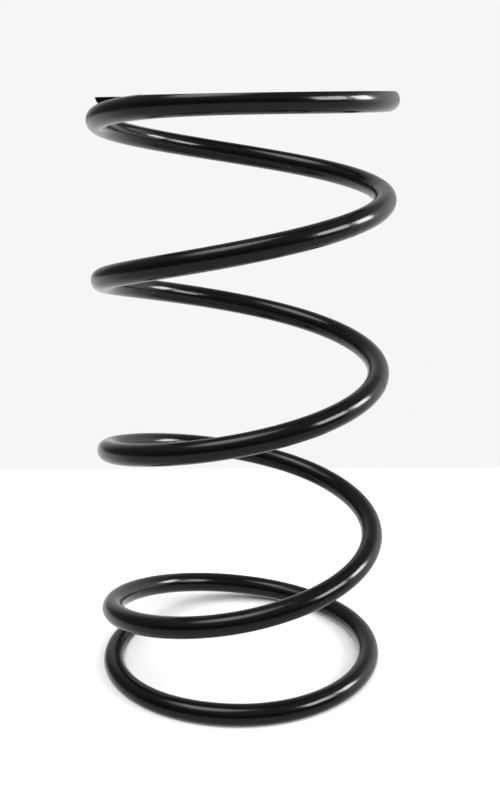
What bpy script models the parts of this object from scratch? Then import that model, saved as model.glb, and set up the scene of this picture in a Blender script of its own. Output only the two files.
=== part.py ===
"""Coil compression spring of a car's suspension strut, wound from one round steel wire.

Metres, +Z up. The spring stands on its lower ground seat, and the origin is under the
middle of its outline. The wire is one piece. It is modelled as a lower end coil, an upper
end coil and a run of short arcs between them, because that is how a rigid model can be
compressed: each arc turns a little about the wire's own line, as the real wire twists.
Both end coils are ground flat. The lower seat is level, and the upper one tips a little.
"""
import math

import bmesh
import bpy
import numpy as np

# Wire and coil
WIRE_DIAMETER = 0.0120
COIL_RADIUS = 0.0750            # to the middle of the wire, at the lower end
RADIUS_GROWTH = 0.026           # the upper coils are this share wider
FREE_LENGTH = 0.3215            # between the two ground seats, unloaded

# Where the wire goes, in degrees round the spring from +X, counted up the helix
LOWER_TIP = 155.0
UPPER_TIP = 1967.0
GROWTH_FROM = 688.0
GROWTH_OVER = 860.0

# Rise of the wire
PITCH = 0.0950                  # per turn, over the middle coils
RAMP_UP_FROM = 375.0            # the lower end coil starts to leave its seat
RAMP_UP_OVER = 123.0
RAMP_DOWN_TO = 1738.0           # the wire has come level with the upper seat
RAMP_DOWN_OVER = 120.0
UPPER_PITCH_DROP = 0.343        # share by which the last active turn is closer
DROP_FROM = 1327.0
DROP_OVER = 370.0

# Ground ends
GRIND_DEPTH = 0.0014            # taken off the round wire all along each seat
TIP_RISE = 0.0058               # how far the last third of a turn runs out past the seat
TIP_ARC = 115.0
TIP_EASE = 30.0                 # degrees over which the tip bends away

# The unloaded spring leans a little, bows as it rises, and its upper seat tips with it
LEAN_X = 0.0046                 # slope of the coils' axis at half height
LEAN_Y = 0.0560
BOW_Y = 0.156                   # change of slope per metre of height
SEAT_TILT_X = -0.0167           # slope of the upper seat
SEAT_TILT_Y = 0.0488
LEAN_FROM = 350.0               # the coils start to follow the leaning axis
LEAN_OVER = 230.0
SEAT_TILT_FROM = 1547.0         # and then the tilt of the upper seat
SEAT_TILT_OVER = 230.0

# Split of the active wire into arcs that turn on each other
ARCS = 22
FIRST_JOINT = 450.0
LAST_JOINT = 1670.0
JOINT_GAP = 0.0005

# Mesh fineness
WIRE_SIDES = 16
STEP = 7.5                      # degrees of coil per ring of faces

TABLE = np.radians(np.linspace(LOWER_TIP, UPPER_TIP, 7289))


def ease(t):
    t = np.clip(t, 0.0, 1.0)
    return t * t * (3.0 - 2.0 * t)


def ramp(theta, start, over):
    """0 before start, 1 after start + over, both in degrees."""
    return ease((theta - math.radians(start)) / math.radians(over))


def slope(theta):
    """Rise of the wire per radian."""
    active = ramp(theta, RAMP_UP_FROM, RAMP_UP_OVER)
    active = active * (1.0 - ramp(theta, RAMP_DOWN_TO - RAMP_DOWN_OVER, RAMP_DOWN_OVER))
    active = active * (1.0 - UPPER_PITCH_DROP * ramp(theta, DROP_FROM, DROP_OVER))
    tips = 1.0 - ramp(theta, LOWER_TIP + TIP_ARC - TIP_EASE, TIP_EASE)
    tips = tips + ramp(theta, UPPER_TIP - TIP_ARC, TIP_EASE)
    return PITCH / math.tau * active + TIP_RISE / math.radians(TIP_ARC) * tips


def height_table():
    """Height of the wire's centre at each angle of TABLE, from the lower seat."""
    s = slope(TABLE)
    rise = np.concatenate([[0.0], np.cumsum(0.5 * (s[1:] + s[:-1]) * np.diff(TABLE))])
    flat = math.radians(LOWER_TIP + TIP_ARC)
    seat = WIRE_DIAMETER / 2 - GRIND_DEPTH
    return rise - np.interp(flat, TABLE, rise) + seat


HEIGHT = height_table()


def axis_at(z):
    """Middle of the coil at a height, and the axis's slope towards the back there."""
    mid = FREE_LENGTH / 2
    x = LEAN_X * z
    y = LEAN_Y * z + BOW_Y * (z * z / 2 - mid * z)
    return x, y, LEAN_Y + BOW_Y * (z - mid)


def coil_radius(theta):
    return COIL_RADIUS * (1.0 + RADIUS_GROWTH * ramp(theta, GROWTH_FROM, GROWTH_OVER))


def wire_line(theta):
    """Centre of the wire at each angle, before the spring is centred on its origin."""
    z = np.interp(theta, TABLE, HEIGHT)
    x, y, axis_slope_y = axis_at(z)
    radius = coil_radius(theta)
    seated = ramp(theta, SEAT_TILT_FROM, SEAT_TILT_OVER)
    free = ramp(theta, LEAN_FROM, LEAN_OVER) * (1.0 - seated)
    slope_x = LEAN_X * free + SEAT_TILT_X * seated
    slope_y = axis_slope_y * free + SEAT_TILT_Y * seated
    dip = (slope_x * np.cos(theta) + slope_y * np.sin(theta)) * radius
    return np.stack([x + radius * np.cos(theta), y + radius * np.sin(theta), z - dip], -1)


def unit(v):
    return v / np.linalg.norm(v, axis=-1, keepdims=True)


def wire_frames(theta):
    """Centre, direction, outward normal and upward normal of the wire at each angle."""
    h = 1e-4
    centre = wire_line(theta)
    along = unit(wire_line(theta + h) - wire_line(theta - h))
    out = np.stack([np.cos(theta), np.sin(theta), np.zeros_like(theta)], -1)
    out = unit(out - along * np.sum(out * along, axis=-1, keepdims=True))
    return centre, along, out, np.cross(out, along)


def wire_points(start, end):
    """Rings of points round the wire from one angle to another, in degrees."""
    steps = max(2, math.ceil((end - start) / STEP))
    theta = np.radians(np.linspace(start, end, steps + 1))
    centre, along, out, up = wire_frames(theta)
    turn = math.tau * (np.arange(WIRE_SIDES) + 0.5) / WIRE_SIDES
    # The corners stand just outside the round wire, and the flats just inside it
    reach = WIRE_DIAMETER / 2 / math.cos(math.pi / WIRE_SIDES) ** 0.5
    ring = np.cos(turn)[None, :, None] * out[:, None] + np.sin(turn)[None, :, None] * up[:, None]
    return centre[:, None] + reach * ring


def upper_seat():
    """A point on the upper seat and the seat's upward normal."""
    x, y, _ = axis_at(HEIGHT[-1])
    normal = unit(np.array([SEAT_TILT_X, SEAT_TILT_Y, 1.0]))
    return np.array([x, y, FREE_LENGTH]), normal


def outline_shift():
    """Puts the middle of the spring's outline over the origin."""
    points = wire_points(LOWER_TIP, UPPER_TIP).reshape(-1, 3)
    middle = (points.min(axis=0) + points.max(axis=0)) / 2
    return np.array([-middle[0], -middle[1], 0.0])


SHIFT = outline_shift()
JOINTS = np.linspace(FIRST_JOINT, LAST_JOINT, ARCS + 1)
HALF_GAP = math.degrees(JOINT_GAP / 2 / COIL_RADIUS)


def joint_point(k):
    return wire_line(np.radians(JOINTS[k:k + 1]))[0] + SHIFT


def black_coating():
    material = bpy.data.materials.new("black_coating")
    material.use_nodes = True
    shader = material.node_tree.nodes["Principled BSDF"]
    shader.inputs["Base Color"].default_value = (0.006, 0.006, 0.0065, 1.0)
    shader.inputs["Roughness"].default_value = 0.16
    material.diffuse_color = (0.02, 0.02, 0.02, 1.0)
    return material


def wire_piece(name, start, end, origin, seat=None, parent=None):
    """One closed length of wire. A seat, given as a point and an outward normal, is ground flat."""
    rings = wire_points(start, end) + SHIFT - origin
    mesh = bmesh.new()
    verts = [[mesh.verts.new(point) for point in ring] for ring in rings]
    for ring, following in zip(verts[:-1], verts[1:]):
        for i in range(WIRE_SIDES):
            j = (i + 1) % WIRE_SIDES
            mesh.faces.new((ring[j], ring[i], following[i], following[j]))
    mesh.faces.new(verts[0])
    mesh.faces.new(verts[-1][::-1])
    if seat is not None:
        point, normal = seat
        cut = bmesh.ops.bisect_plane(
            mesh,
            geom=mesh.verts[:] + mesh.edges[:] + mesh.faces[:],
            dist=1e-7,
            plane_co=point + SHIFT - origin,
            plane_no=normal,
            clear_outer=True,
        )
        rim = [g for g in cut["geom_cut"] if isinstance(g, bmesh.types.BMEdge)]
        bmesh.ops.contextual_create(mesh, geom=rim)
    bmesh.ops.recalc_face_normals(mesh, faces=mesh.faces[:])
    bmesh.ops.triangulate(mesh, faces=[f for f in mesh.faces if len(f.verts) > 4])
    data = bpy.data.meshes.new(name)
    mesh.to_mesh(data)
    mesh.free()
    data.shade_smooth()
    data.set_sharp_from_angle(angle=math.radians(35.0))
    data.materials.append(BLACK)
    piece = bpy.data.objects.new(name, data)
    bpy.context.collection.objects.link(piece)
    piece.parent = parent
    base = parent["origin"] if parent is not None else (0.0, 0.0, 0.0)
    piece.location = [a - b for a, b in zip(origin, base)]
    piece["origin"] = [float(a) for a in origin]
    return piece


def build():
    floor = (np.zeros(3), np.array([0.0, 0.0, -1.0]))
    lower = wire_piece(
        "lower_end_coil", LOWER_TIP, JOINTS[0] - HALF_GAP, np.zeros(3), seat=floor)
    top_point, top_normal = upper_seat()
    upper = wire_piece(
        "upper_end_coil", JOINTS[-1] + HALF_GAP, UPPER_TIP, top_point + SHIFT,
        seat=(top_point, top_normal), parent=lower)
    # The lower half of the active wire hangs from the lower end coil, arc after arc
    parent = lower
    for k in range(ARCS // 2):
        parent = wire_piece(
            f"active_arc_{k + 1:02d}", JOINTS[k] + HALF_GAP, JOINTS[k + 1] - HALF_GAP,
            joint_point(k), parent=parent)
    # and the upper half from the upper end coil
    parent = upper
    for k in range(ARCS - 1, ARCS // 2 - 1, -1):
        parent = wire_piece(
            f"active_arc_{k + 1:02d}", JOINTS[k] + HALF_GAP, JOINTS[k + 1] - HALF_GAP,
            joint_point(k + 1), parent=parent)


for old in list(bpy.data.objects):
    bpy.data.objects.remove(old, do_unlink=True)
BLACK = black_coating()
build()
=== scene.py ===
"""Looks of a car's coil spring: one gloss black coated wire, in a white studio.

The wire is drawn afresh at full smoothness round the same line as the CAD model's. Each
length of wire rides on the body of the CAD node that it replaces. Metres, +Z up.
"""
import math

import bmesh
import bpy
import numpy as np
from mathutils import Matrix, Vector

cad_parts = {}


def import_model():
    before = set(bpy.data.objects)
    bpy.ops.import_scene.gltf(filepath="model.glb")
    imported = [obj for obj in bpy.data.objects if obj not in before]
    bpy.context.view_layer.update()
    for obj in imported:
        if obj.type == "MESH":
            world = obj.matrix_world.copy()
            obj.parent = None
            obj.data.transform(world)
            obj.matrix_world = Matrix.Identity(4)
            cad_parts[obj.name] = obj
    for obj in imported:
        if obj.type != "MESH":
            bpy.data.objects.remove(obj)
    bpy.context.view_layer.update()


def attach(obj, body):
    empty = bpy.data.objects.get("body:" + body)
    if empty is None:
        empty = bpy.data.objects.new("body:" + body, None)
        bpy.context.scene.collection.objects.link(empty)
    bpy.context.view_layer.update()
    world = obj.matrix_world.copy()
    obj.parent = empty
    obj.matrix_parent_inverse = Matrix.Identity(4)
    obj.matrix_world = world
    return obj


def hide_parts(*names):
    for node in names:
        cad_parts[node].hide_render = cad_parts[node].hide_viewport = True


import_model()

# The wire's design, as in the CAD model: sizes in metres, places in degrees of coil
WIRE_DIAMETER = 0.0120
COIL_RADIUS = 0.0750
RADIUS_GROWTH = 0.026
FREE_LENGTH = 0.3215
LOWER_TIP = 155.0
UPPER_TIP = 1967.0
GROWTH_FROM = 688.0
GROWTH_OVER = 860.0
PITCH = 0.0950
RAMP_UP_FROM = 375.0
RAMP_UP_OVER = 123.0
RAMP_DOWN_TO = 1738.0
RAMP_DOWN_OVER = 120.0
UPPER_PITCH_DROP = 0.343
DROP_FROM = 1327.0
DROP_OVER = 370.0
GRIND_DEPTH = 0.0014
TIP_RISE = 0.0058
TIP_ARC = 115.0
TIP_EASE = 30.0
LEAN_X = 0.0046
LEAN_Y = 0.0560
BOW_Y = 0.156
SEAT_TILT_X = -0.0167
SEAT_TILT_Y = 0.0488
LEAN_FROM = 350.0
LEAN_OVER = 230.0
SEAT_TILT_FROM = 1547.0
SEAT_TILT_OVER = 230.0
ARCS = 22
FIRST_JOINT = 450.0
LAST_JOINT = 1670.0

# Fineness of the drawn wire
SIDES = 64
STEP = 1.5                      # degrees of coil per ring

# Ground faces and the wire's cut ends
FLAT_HALF = 7                   # ring points from the middle of a ground face to its edge
EDGE_ROUND = 0.00030            # width of the coating's rounding at a ground face's edge
EDGE_DRAWN_IN = 0.000105        # how far it draws the edge in
SEAT_LEVEL = 0.9995             # cosine of the most that a face in the seat may tip
SEAT_WITHIN = 0.00001           # and its middle's greatest distance from the seat's plane
TIP_ROUND = 0.00045             # radius of the rounding at the edge of a cut end
TIP_RINGS = 3

# Each length of wire ends in a ball that turns in the hollow start of the next length
BALL_RINGS = 8
BALL = 0.980                    # the ball's radius, as a share of the wire's
SOCKET = 0.9915                 # and the hollow's

RADIUS = WIRE_DIAMETER / 2
# Places along the wire that its heights and lengths are worked out for
ANGLES = np.radians(np.linspace(LOWER_TIP, UPPER_TIP, 7249))


def ease(t):
    t = np.clip(t, 0.0, 1.0)
    return t * t * (3.0 - 2.0 * t)


def ramp(theta, start, over):
    """0 before start, 1 after start + over, both in degrees."""
    return ease((theta - math.radians(start)) / math.radians(over))


def unit(v):
    return v / np.linalg.norm(v, axis=-1, keepdims=True)


# The line of the wire


def slope(theta):
    """Rise of the wire per radian."""
    active = ramp(theta, RAMP_UP_FROM, RAMP_UP_OVER)
    active = active * (1.0 - ramp(theta, RAMP_DOWN_TO - RAMP_DOWN_OVER, RAMP_DOWN_OVER))
    active = active * (1.0 - UPPER_PITCH_DROP * ramp(theta, DROP_FROM, DROP_OVER))
    tips = 1.0 - ramp(theta, LOWER_TIP + TIP_ARC - TIP_EASE, TIP_EASE)
    tips = tips + ramp(theta, UPPER_TIP - TIP_ARC, TIP_EASE)
    return PITCH / math.tau * active + TIP_RISE / math.radians(TIP_ARC) * tips


def height_table():
    """Height of the wire's centre above the lower seat, at each of ANGLES."""
    s = slope(ANGLES)
    rise = np.concatenate([[0.0], np.cumsum(0.5 * (s[1:] + s[:-1]) * np.diff(ANGLES))])
    flat = math.radians(LOWER_TIP + TIP_ARC)
    return rise - np.interp(flat, ANGLES, rise) + RADIUS - GRIND_DEPTH


HEIGHT = height_table()


def axis_at(z):
    """Middle of the coil at a height, and the axis's slope towards the back there."""
    mid = FREE_LENGTH / 2
    x = LEAN_X * z
    y = LEAN_Y * z + BOW_Y * (z * z / 2 - mid * z)
    return x, y, LEAN_Y + BOW_Y * (z - mid)


def wire_line(theta):
    """Centre of the wire at each angle, before the spring is centred on its origin."""
    z = np.interp(theta, ANGLES, HEIGHT)
    x, y, axis_slope_y = axis_at(z)
    radius = COIL_RADIUS * (1.0 + RADIUS_GROWTH * ramp(theta, GROWTH_FROM, GROWTH_OVER))
    seated = ramp(theta, SEAT_TILT_FROM, SEAT_TILT_OVER)
    free = ramp(theta, LEAN_FROM, LEAN_OVER) * (1.0 - seated)
    slope_x = LEAN_X * free + SEAT_TILT_X * seated
    slope_y = axis_slope_y * free + SEAT_TILT_Y * seated
    dip = (slope_x * np.cos(theta) + slope_y * np.sin(theta)) * radius
    return np.stack([x + radius * np.cos(theta), y + radius * np.sin(theta), z - dip], -1)


def wire_frames(theta):
    """Centre, direction and outward normal of the wire at each angle."""
    h = 1e-4
    centre = wire_line(theta)
    along = unit(wire_line(theta + h) - wire_line(theta - h))
    out = np.stack([np.cos(theta), np.sin(theta), np.zeros_like(theta)], -1)
    out = unit(out - along * np.sum(out * along, axis=-1, keepdims=True))
    return centre, along, out


def outline_shift():
    """Puts the middle of the spring's outline over the origin, as in the CAD model."""
    theta = np.radians(np.arange(LOWER_TIP, UPPER_TIP, 1.0))
    centre, along, _ = wire_frames(theta)
    reach = RADIUS * np.sqrt(1.0 - along**2)
    middle = ((centre - reach).min(axis=0) + (centre + reach).max(axis=0)) / 2
    return np.array([-middle[0], -middle[1], 0.0])


def length_table():
    """Length of the wire from its lower tip to each of ANGLES."""
    steps = np.linalg.norm(np.diff(wire_line(ANGLES), axis=0), axis=1)
    return np.concatenate([[0.0], np.cumsum(steps)])


SHIFT = outline_shift()
LENGTH = length_table()


def upper_seat():
    """A point on the upper seat and the seat's upward normal."""
    x, y, _ = axis_at(HEIGHT[-1])
    point = np.array([x, y, FREE_LENGTH]) + SHIFT
    return point, unit(np.array([SEAT_TILT_X, SEAT_TILT_Y, 1.0]))


# The surface of the wire


def section(cut):
    """Points and normals of a ring, in a section whose first axis lies in the seat and whose
    second points out of it. The seat is at height cut, and beyond the radius it cuts nothing."""
    number = np.arange(SIDES)
    number = np.where(number > SIDES // 2, number - SIDES, number)
    side, size = np.sign(number), np.abs(number)
    corner = math.acos(np.clip(cut / RADIUS, -1.0, 1.0))
    wide = corner > math.tau * FLAT_HALF / SIDES
    if wide:
        past = (size - FLAT_HALF) / (SIDES / 2 - FLAT_HALF)
        turn = corner + past * (math.pi - corner)
        turn[size == FLAT_HALF + 1] = corner + EDGE_ROUND / RADIUS
        flat = size < FLAT_HALF
    else:
        turn = math.tau * size / SIDES
        flat = RADIUS * np.cos(turn) > cut
    normals = np.stack([side * np.sin(turn), np.cos(turn)], -1)
    points = normals * RADIUS
    normals[flat] = (0.0, 1.0)
    points[flat, 1] = cut
    if wide:
        inner = (RADIUS * math.sin(corner) - EDGE_ROUND) / (FLAT_HALF - 1)
        points[flat, 0] = number[flat] * inner
        edge = size == FLAT_HALF
        normals[edge] = unit(normals[edge] + (0.0, 1.0))
        points[edge] -= normals[edge] * EDGE_DRAWN_IN
    return points, normals


class Wire:
    """A length of the wire between two angles in degrees: its line, and rings of points."""

    def __init__(self, start, end, seat):
        steps = max(2, math.ceil((end - start) / STEP))
        theta = np.radians(np.linspace(start, end, steps + 1))
        centre, self.along, self.out = wire_frames(theta)
        self.centre = centre + SHIFT
        self.travel = np.interp(theta, ANGLES, LENGTH)
        self.rings, self.normals = [], []
        for first, second, height, middle in zip(*self.sections(seat), self.centre):
            points, facing = section(height)
            axes = np.stack([first, second])
            self.rings.append(middle + points @ axes)
            self.normals.append(facing @ axes)

    def sections(self, seat):
        """Both axes of each ring's section, and the height in it at which the seat cuts."""
        if seat is None:
            height = np.full(len(self.centre), 2 * RADIUS)
            second = np.cross(self.out, self.along)
        else:
            point, normal = seat
            second = unit(normal - self.along * (self.along @ normal)[:, None])
            height = ((point - self.centre) @ normal) / (second @ normal)
        return np.cross(second, self.along), second, height


def dome(centre, along, ring, first):
    """Directions from a ball's centre to its rings, of which number 0 is the rim."""
    rim = unit(ring - centre)
    turns = math.pi / 2 * np.arange(first, BALL_RINGS) / BALL_RINGS
    return [rim * math.cos(turn) + along * math.sin(turn) for turn in turns]


def ball(centre, along, ring):
    """Rings and normals of the round end that turns in the next length of wire."""
    facings = dome(centre, along, ring, 1)
    return [centre + facing * RADIUS * BALL for facing in facings], facings


def socket(centre, along, ring):
    """Rings and normals of the hollow for the length of wire before this one, rim first."""
    facings = dome(centre, along, ring, 0)
    rings = [centre + facing * RADIUS * SOCKET for facing in facings]
    return rings, [-facing for facing in facings]


def cut_end(ring, normal, facing):
    """Rings and normals of a sawn end with a rounded edge. The end faces away from the wire."""
    rings, normals = [], []
    for k in range(1, TIP_RINGS + 1):
        turn = math.pi / 2 * k / TIP_RINGS
        inward = TIP_ROUND * (1.0 - math.cos(turn))
        rings.append(ring - normal * inward + facing * TIP_ROUND * math.sin(turn))
        normals.append(unit(normal * math.cos(turn) + facing * math.sin(turn)))
    return rings, normals


def closed_tube(name, rings, smooth_end):
    """Mesh of quads between the rings, with a flat face over the first and the last ring."""
    mesh = bmesh.new()
    verts = [[mesh.verts.new(point) for point in ring] for ring in rings]
    for ring, following in zip(verts[:-1], verts[1:]):
        for i in range(SIDES):
            j = (i + 1) % SIDES
            face = mesh.faces.new((ring[j], ring[i], following[i], following[j]))
            face.smooth = True
    mesh.faces.new(verts[0])
    last = mesh.faces.new(verts[-1][::-1])
    last.smooth = smooth_end
    mesh.normal_update()
    data = bpy.data.meshes.new(name)
    mesh.to_mesh(data)
    mesh.free()
    return data


def set_normals(data, normals, first_facing, last_facing):
    """Gives the tube its rings' normals, and each of its two end faces one of its own."""
    vertex_normals = np.concatenate(normals)
    loops = vertex_normals[[loop.vertex_index for loop in data.loops]]
    ends = data.polygons[len(data.polygons) - 2:]
    for polygon, facing in zip(ends, (first_facing, last_facing)):
        loops[polygon.loop_start:polygon.loop_start + polygon.loop_total] = facing
    data.normals_split_custom_set([tuple(normal) for normal in loops])


def set_texture_place(data, wire, rings, stations):
    """Each point's place along the wire, outward and upward, for the coating's texture."""
    values = []
    for ring, station in zip(rings, stations):
        along, out = wire.along[station], wire.out[station]
        offset = ring - wire.centre[station]
        values.append(np.stack([
            wire.travel[station] + offset @ along,
            offset @ out,
            offset @ np.cross(out, along),
        ], -1))
    place = data.attributes.new("along_wire", "FLOAT_VECTOR", "POINT")
    place.data.foreach_set("vector", np.concatenate(values).astype(np.float32).ravel())


def set_materials(data, seat):
    """Coating all over, and its ground version on the face in the seat's plane."""
    data.materials.append(COATING)
    if seat is None:
        return
    data.materials.append(GROUND)
    point, facing = seat
    for polygon in data.polygons:
        gap = (np.array(polygon.center) - point) @ facing
        in_seat = np.dot(polygon.normal, facing) > SEAT_LEVEL and abs(gap) < SEAT_WITHIN
        if in_seat and len(polygon.vertices) == 4:
            polygon.material_index = 1


def wire_piece(name, body, start, end, seat=None, sawn_start=False, sawn_end=False):
    """One closed length of wire that rides on a body and stands for its CAD node."""
    inset = math.degrees(TIP_ROUND / COIL_RADIUS)
    start = start + inset if sawn_start else start
    end = end - inset if sawn_end else end
    wire = Wire(start, end, seat)
    if sawn_start:
        lead, lead_normals = cut_end(wire.rings[0], wire.normals[0], -wire.along[0])
    else:
        lead, lead_normals = socket(wire.centre[0], wire.along[0], wire.rings[0])
    if sawn_end:
        tail, tail_normals = cut_end(wire.rings[-1], wire.normals[-1], wire.along[-1])
    else:
        tail, tail_normals = ball(wire.centre[-1], wire.along[-1], wire.rings[-1])
        wire.rings[-1] = wire.centre[-1] + (wire.rings[-1] - wire.centre[-1]) * BALL
    rings = lead[::-1] + wire.rings + tail
    normals = lead_normals[::-1] + wire.normals + tail_normals
    # Which place of the wire's line each ring belongs to. An end's rings share the nearest
    last = len(wire.rings) - 1
    stations = [0] * len(lead) + list(range(last + 1)) + [last] * len(tail)

    data = closed_tube(name, rings, smooth_end=not sawn_end)
    set_normals(data, normals, -wire.along[0], wire.along[-1])
    set_texture_place(data, wire, rings, stations)
    set_materials(data, seat)
    piece = bpy.data.objects.new(name, data)
    bpy.context.collection.objects.link(piece)
    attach(piece, body)
    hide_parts(body)


# Materials: lengths in metres, and texture scales in features per metre

COATING_BLACK = (0.0022, 0.0022, 0.0024, 1.0)
COATING_IOR = 1.5
COATING_ROUGHNESS = (0.13, 0.19)    # where it is glossiest and dullest
GROUND_ROUGHNESS = (0.24, 0.36)
ROUGHNESS_SCALE = 130.0
NOISE_RANGE = (0.3, 0.7)        # the noise's values that give the two ends of roughness

PEEL_SCALE = 420.0              # orange peel
PEEL_DEPTH = 0.000018
DRAW_SCALE = 700.0              # lines from the drawing of the wire, across it
DRAW_STRETCH = 0.04             # and their scale along it, as a share
DRAW_DEPTH = 0.000006
WHEEL_SCALE = 1800.0            # marks of the grinding wheel
WHEEL_STRETCH = 0.02            # and their scale along X, as a share
WHEEL_TURN = 20.0               # degrees, of the noise under the marks, which stay along X
WHEEL_DEPTH = 0.00006

DUST_COLOUR = (0.30, 0.29, 0.28, 1.0)
DUST_SCALE = 190.0
DUST_SIZE = 0.055               # a speck's reach in a cell of the texture
DUST_CORE = 0.5                 # share of it that is solid
DUST_SHARE = 0.12               # share of the cells that hold a speck
DUST_ROUGHNESS = 0.4            # added to the coating's
DUST_HEIGHT = 0.00005

# Sockets of a Mix node that mixes colours
MIX_FACTOR = 0
MIX_FIRST = 6
MIX_SECOND = 7
MIX_RESULT = 2


class Nodes:
    """Short way to add and link a material's nodes."""

    def __init__(self, name):
        self.material = bpy.data.materials.new(name)
        self.material.use_nodes = True
        self.tree = self.material.node_tree
        self.shader = self.tree.nodes["Principled BSDF"]

    def add(self, kind, **values):
        node = self.tree.nodes.new(kind)
        for key, value in values.items():
            if key in node.inputs:
                node.inputs[key].default_value = value
            else:
                setattr(node, key, value)
        return node

    def link(self, source, target):
        self.tree.links.new(source, target)


def stretched(nodes, scale):
    """The place along the wire, scaled along it, outward and upward."""
    place = nodes.add("ShaderNodeAttribute", attribute_name="along_wire")
    mapping = nodes.add("ShaderNodeMapping", Scale=scale)
    nodes.link(place.outputs["Vector"], mapping.inputs["Vector"])
    return mapping.outputs["Vector"]


def noise(nodes, vector, scale, detail=2.0, roughness=0.5):
    node = nodes.add("ShaderNodeTexNoise", Scale=scale, Detail=detail, Roughness=roughness)
    nodes.link(vector, node.inputs["Vector"])
    return node.outputs["Fac"]


def remap(nodes, value, low, high, to_low, to_high):
    node = nodes.add("ShaderNodeMapRange")
    for key, number in zip((1, 2, 3, 4), (low, high, to_low, to_high)):
        node.inputs[key].default_value = number
    nodes.link(value, node.inputs[0])
    return node.outputs["Result"]


def bump(nodes, height, distance, after=None):
    node = nodes.add("ShaderNodeBump", Strength=1.0, Distance=distance)
    nodes.link(height, node.inputs["Height"])
    if after is not None:
        nodes.link(after, node.inputs["Normal"])
    return node.outputs["Normal"]


def specks(nodes, vector):
    """1 on small scattered dots of dust, 0 elsewhere."""
    dots = nodes.add("ShaderNodeTexVoronoi", Scale=DUST_SCALE)
    nodes.link(vector, dots.inputs["Vector"])
    near = remap(nodes, dots.outputs["Distance"], DUST_SIZE, DUST_SIZE * DUST_CORE, 0.0, 1.0)
    split = nodes.add("ShaderNodeSeparateColor")
    nodes.link(dots.outputs["Color"], split.inputs["Color"])
    chosen = nodes.add("ShaderNodeMath", operation="LESS_THAN")
    chosen.inputs[1].default_value = DUST_SHARE
    nodes.link(split.outputs["Red"], chosen.inputs[0])
    both = nodes.add("ShaderNodeMath", operation="MULTIPLY")
    nodes.link(near, both.inputs[0])
    nodes.link(chosen.outputs["Value"], both.inputs[1])
    return both.outputs["Value"]


def wheel_marks(nodes):
    """Marks of the grinding wheel, straight across the spring along X."""
    place = nodes.add("ShaderNodeTexCoord")
    mapping = nodes.add(
        "ShaderNodeMapping",
        Scale=(WHEEL_STRETCH, 1.0, 1.0),
        Rotation=(0.0, 0.0, math.radians(WHEEL_TURN)),
    )
    nodes.link(place.outputs["Object"], mapping.inputs["Vector"])
    return noise(nodes, mapping.outputs["Vector"], WHEEL_SCALE, 3.0, 0.6)


def black_coating(name, ground=False):
    """Gloss black coat with orange peel, faint draw lines of the wire under it, and dust."""
    nodes = Nodes(name)
    shader = nodes.shader
    even = stretched(nodes, (1.0, 1.0, 1.0))
    drawn = stretched(nodes, (DRAW_STRETCH, 1.0, 1.0))
    shader.inputs["IOR"].default_value = COATING_IOR

    dust = specks(nodes, even)
    colour = nodes.add("ShaderNodeMix", data_type="RGBA")
    colour.inputs[MIX_FIRST].default_value = COATING_BLACK
    colour.inputs[MIX_SECOND].default_value = DUST_COLOUR
    nodes.link(dust, colour.inputs[MIX_FACTOR])
    nodes.link(colour.outputs[MIX_RESULT], shader.inputs["Base Color"])

    unevenness = noise(nodes, even, ROUGHNESS_SCALE, 4.0, 0.6)
    range_of_gloss = GROUND_ROUGHNESS if ground else COATING_ROUGHNESS
    gloss = remap(nodes, unevenness, *NOISE_RANGE, *range_of_gloss)
    rough = nodes.add("ShaderNodeMath", operation="MULTIPLY_ADD")
    rough.inputs[1].default_value = DUST_ROUGHNESS
    nodes.link(dust, rough.inputs[0])
    nodes.link(gloss, rough.inputs[2])
    nodes.link(rough.outputs["Value"], shader.inputs["Roughness"])

    relief = bump(nodes, noise(nodes, even, PEEL_SCALE), PEEL_DEPTH)
    relief = bump(nodes, noise(nodes, drawn, DRAW_SCALE), DRAW_DEPTH, relief)
    if ground:
        relief = bump(nodes, wheel_marks(nodes), WHEEL_DEPTH, relief)
    relief = bump(nodes, dust, DUST_HEIGHT, relief)
    nodes.link(relief, shader.inputs["Normal"])
    return nodes.material


COATING = black_coating("gloss_black_coating")
GROUND = black_coating("ground_black_coating", ground=True)


# The spring


def build_spring():
    joints = np.linspace(FIRST_JOINT, LAST_JOINT, ARCS + 1)
    floor_seat = (np.zeros(3), np.array([0.0, 0.0, -1.0]))
    wire_piece("lower_end_wire", "lower_end_coil", LOWER_TIP, joints[0],
               seat=floor_seat, sawn_start=True)
    for k in range(ARCS):
        wire_piece(f"active_wire_{k + 1:02d}", f"active_arc_{k + 1:02d}",
                   joints[k], joints[k + 1])
    wire_piece("upper_end_wire", "upper_end_coil", joints[-1], UPPER_TIP,
               seat=upper_seat(), sawn_end=True)


build_spring()


# The studio. A direction is an azimuth from the right by way of the back, and an elevation

CAMERA_BACK = 0.6275            # camera's distance in front of the spring's foot
CAMERA_HEIGHT = 0.3474
CAMERA_PITCH = 0.2940           # radians below level
CAMERA_YAW = 0.0084
FOCAL_LENGTH = 53.04            # mm, on a 36 mm high picture

TABLE_BACK = 0.307              # the white table ends here, behind the spring
TABLE_FRONT = -0.62
TABLE_SIDE = 0.95
TABLE_THICKNESS = 0.001
TABLE_WHITE = (0.86, 0.86, 0.86, 1.0)
TABLE_ROUGHNESS = 0.6
TABLE_SPECULAR = 0.2

# Lamps, with their powers in watts
FILL_PLACE = (0.05, 0.05, 1.6)
FILL_SIZE = (4.5, 4.5)
FILL_POWER = 78.0
WINDOW_AIM = (0.0, 0.0, 0.16)
WINDOW_DISTANCE = 1.3
BACK_PANE = (6.0, 22.5)
BACK_PANE_SIZE = (0.38, 0.44)
BACK_PANE_POWER = 8.0
FRONT_PANE = (-24.0, 26.5)
FRONT_PANE_SIZE = (0.58, 0.46)
FRONT_PANE_POWER = 8.2

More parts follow.
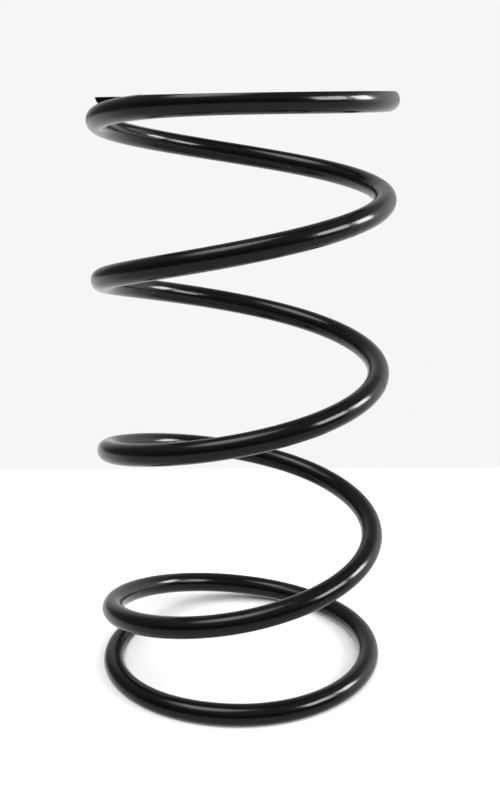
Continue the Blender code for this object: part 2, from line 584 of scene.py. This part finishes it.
# Light of the room's own surfaces
FRONT = 0.06                    # the dark room in front
LEFT = 0.12
RIGHT = 1.0
WALL = 0.55                     # the white wall behind
CEILING = 0.20
CEILING_GLOW = 3.9              # a soft patch of lit ceiling, over the left
GLOW_PLACE = (203.0, 72.0)
GLOW_REACH = 26.0               # degrees from its middle
BELOW = 0.48                    # the table, as the coating mirrors it
BELOW_BACK = 0.90               # and its part behind the spring
BACKDROP = 0.920                # the wall as the camera sees it

# Where they give way to each other, along an axis of a sphere with a radius of 1
LEFT_TO_WALL_X = (-0.8, -0.2)
WALL_TO_RIGHT_X = (0.3, 0.9)
FRONT_TO_SIDES_Y = (-0.25, 0.10)
WALLS_TO_CEILING_Z = (0.30, 0.70)
BELOW_TO_BACK_Y = (-0.1, 0.7)
BELOW_TO_ABOVE_Z = (-0.24, -0.04)


def white_paint():
    nodes = Nodes("white_table")
    nodes.shader.inputs["Base Color"].default_value = TABLE_WHITE
    nodes.shader.inputs["Roughness"].default_value = TABLE_ROUGHNESS
    nodes.shader.inputs["Specular IOR Level"].default_value = TABLE_SPECULAR
    return nodes.material


def table():
    low = np.array([-TABLE_SIDE, TABLE_FRONT, -TABLE_THICKNESS])
    high = np.array([TABLE_SIDE, TABLE_BACK, 0.0])
    mesh = bmesh.new()
    bmesh.ops.create_cube(mesh, size=1.0)
    for vert in mesh.verts:
        vert.co = (np.array(vert.co) + 0.5) * (high - low) + low
    data = bpy.data.meshes.new("table")
    mesh.to_mesh(data)
    mesh.free()
    data.materials.append(white_paint())
    thing = bpy.data.objects.new("table", data)
    bpy.context.collection.objects.link(thing)
    # The world's colour below stands in for it in mirror reflections
    thing.visible_glossy = False


def area_light(name, place, target, size, power, glossy=True):
    light = bpy.data.lights.new(name, "AREA")
    light.shape = "RECTANGLE"
    light.size, light.size_y = size
    light.energy = power
    lamp = bpy.data.objects.new(name, light)
    lamp.location = place
    lamp.rotation_euler = (Vector(target) - Vector(place)).to_track_quat("-Z", "Y").to_euler()
    lamp.visible_glossy = glossy
    lamp.visible_camera = False
    bpy.context.collection.objects.link(lamp)


def direction(azimuth, elevation):
    """A unit vector; azimuth 0 is to the right and 90 to the back, both in degrees."""
    a, e = math.radians(azimuth), math.radians(elevation)
    return Vector((math.cos(e) * math.cos(a), math.cos(e) * math.sin(a), math.sin(e)))


def window_pane(name, place, size, power):
    """One lit pane, at a direction from the spring's middle."""
    middle = Vector(WINDOW_AIM)
    area_light(name, middle + WINDOW_DISTANCE * direction(*place), middle, size, power)


def smooth_step(tree, value, low, high, first, last):
    """Runs from first to last, each a number or a socket, as the value goes from low to high."""
    step = tree.nodes.new("ShaderNodeMapRange")
    step.interpolation_type = "SMOOTHSTEP"
    for key, number in zip((1, 2, 3, 4), (low, high, first, last)):
        if isinstance(number, (int, float)):
            step.inputs[key].default_value = number
        else:
            tree.links.new(number, step.inputs[key])
    tree.links.new(value, step.inputs[0])
    return step.outputs["Result"]


def world():
    """White wall behind, lit from the right, dark room in front, and a dim ceiling with a glow."""
    room = bpy.data.worlds.new("studio")
    room.use_nodes = True
    bpy.context.scene.world = room
    tree = room.node_tree
    tree.nodes.clear()
    add, link = tree.nodes.new, tree.links.new
    place = add("ShaderNodeTexCoord")
    split = add("ShaderNodeSeparateXYZ")
    link(place.outputs["Generated"], split.inputs["Vector"])
    x, y, z = (split.outputs[axis] for axis in "XYZ")
    sides = smooth_step(tree, x, *LEFT_TO_WALL_X, LEFT, WALL)
    sides = smooth_step(tree, x, *WALL_TO_RIGHT_X, sides, RIGHT)
    walls = smooth_step(tree, y, *FRONT_TO_SIDES_Y, FRONT, sides)
    walls = smooth_step(tree, z, *WALLS_TO_CEILING_Z, walls, CEILING)
    below = smooth_step(tree, y, *BELOW_TO_BACK_Y, BELOW, BELOW_BACK)
    towards = add("ShaderNodeVectorMath")
    towards.operation = "DOT_PRODUCT"
    towards.inputs[1].default_value = direction(*GLOW_PLACE)
    link(place.outputs["Generated"], towards.inputs[0])
    edge = math.cos(math.radians(GLOW_REACH))
    above = smooth_step(tree, towards.outputs["Value"], edge, 1.0, walls, CEILING_GLOW)
    whole = smooth_step(tree, z, *BELOW_TO_ABOVE_Z, below, above)
    seen = add("ShaderNodeLightPath")
    shown = smooth_step(tree, seen.outputs["Is Camera Ray"], 0.0, 1.0, whole, BACKDROP)
    background = add("ShaderNodeBackground")
    link(shown, background.inputs["Color"])
    output = add("ShaderNodeOutputWorld")
    link(background.outputs["Background"], output.inputs["Surface"])


def studio():
    table()
    area_light("fill", FILL_PLACE, (0.0, 0.0, 0.0), FILL_SIZE, FILL_POWER, glossy=False)
    # A window of two panes on the right
    window_pane("window_back", BACK_PANE, BACK_PANE_SIZE, BACK_PANE_POWER)
    window_pane("window_front", FRONT_PANE, FRONT_PANE_SIZE, FRONT_PANE_POWER)
    world()
    bpy.context.scene.view_settings.view_transform = "Standard"


def camera():
    data = bpy.data.cameras.new("camera")
    data.lens = FOCAL_LENGTH
    eye = bpy.data.objects.new("camera", data)
    eye.location = (SHIFT[0], SHIFT[1] - CAMERA_BACK, CAMERA_HEIGHT)
    eye.rotation_euler = (math.pi / 2 - CAMERA_PITCH, 0.0, -CAMERA_YAW)
    bpy.context.collection.objects.link(eye)
    bpy.context.scene.camera = eye


studio()
camera()
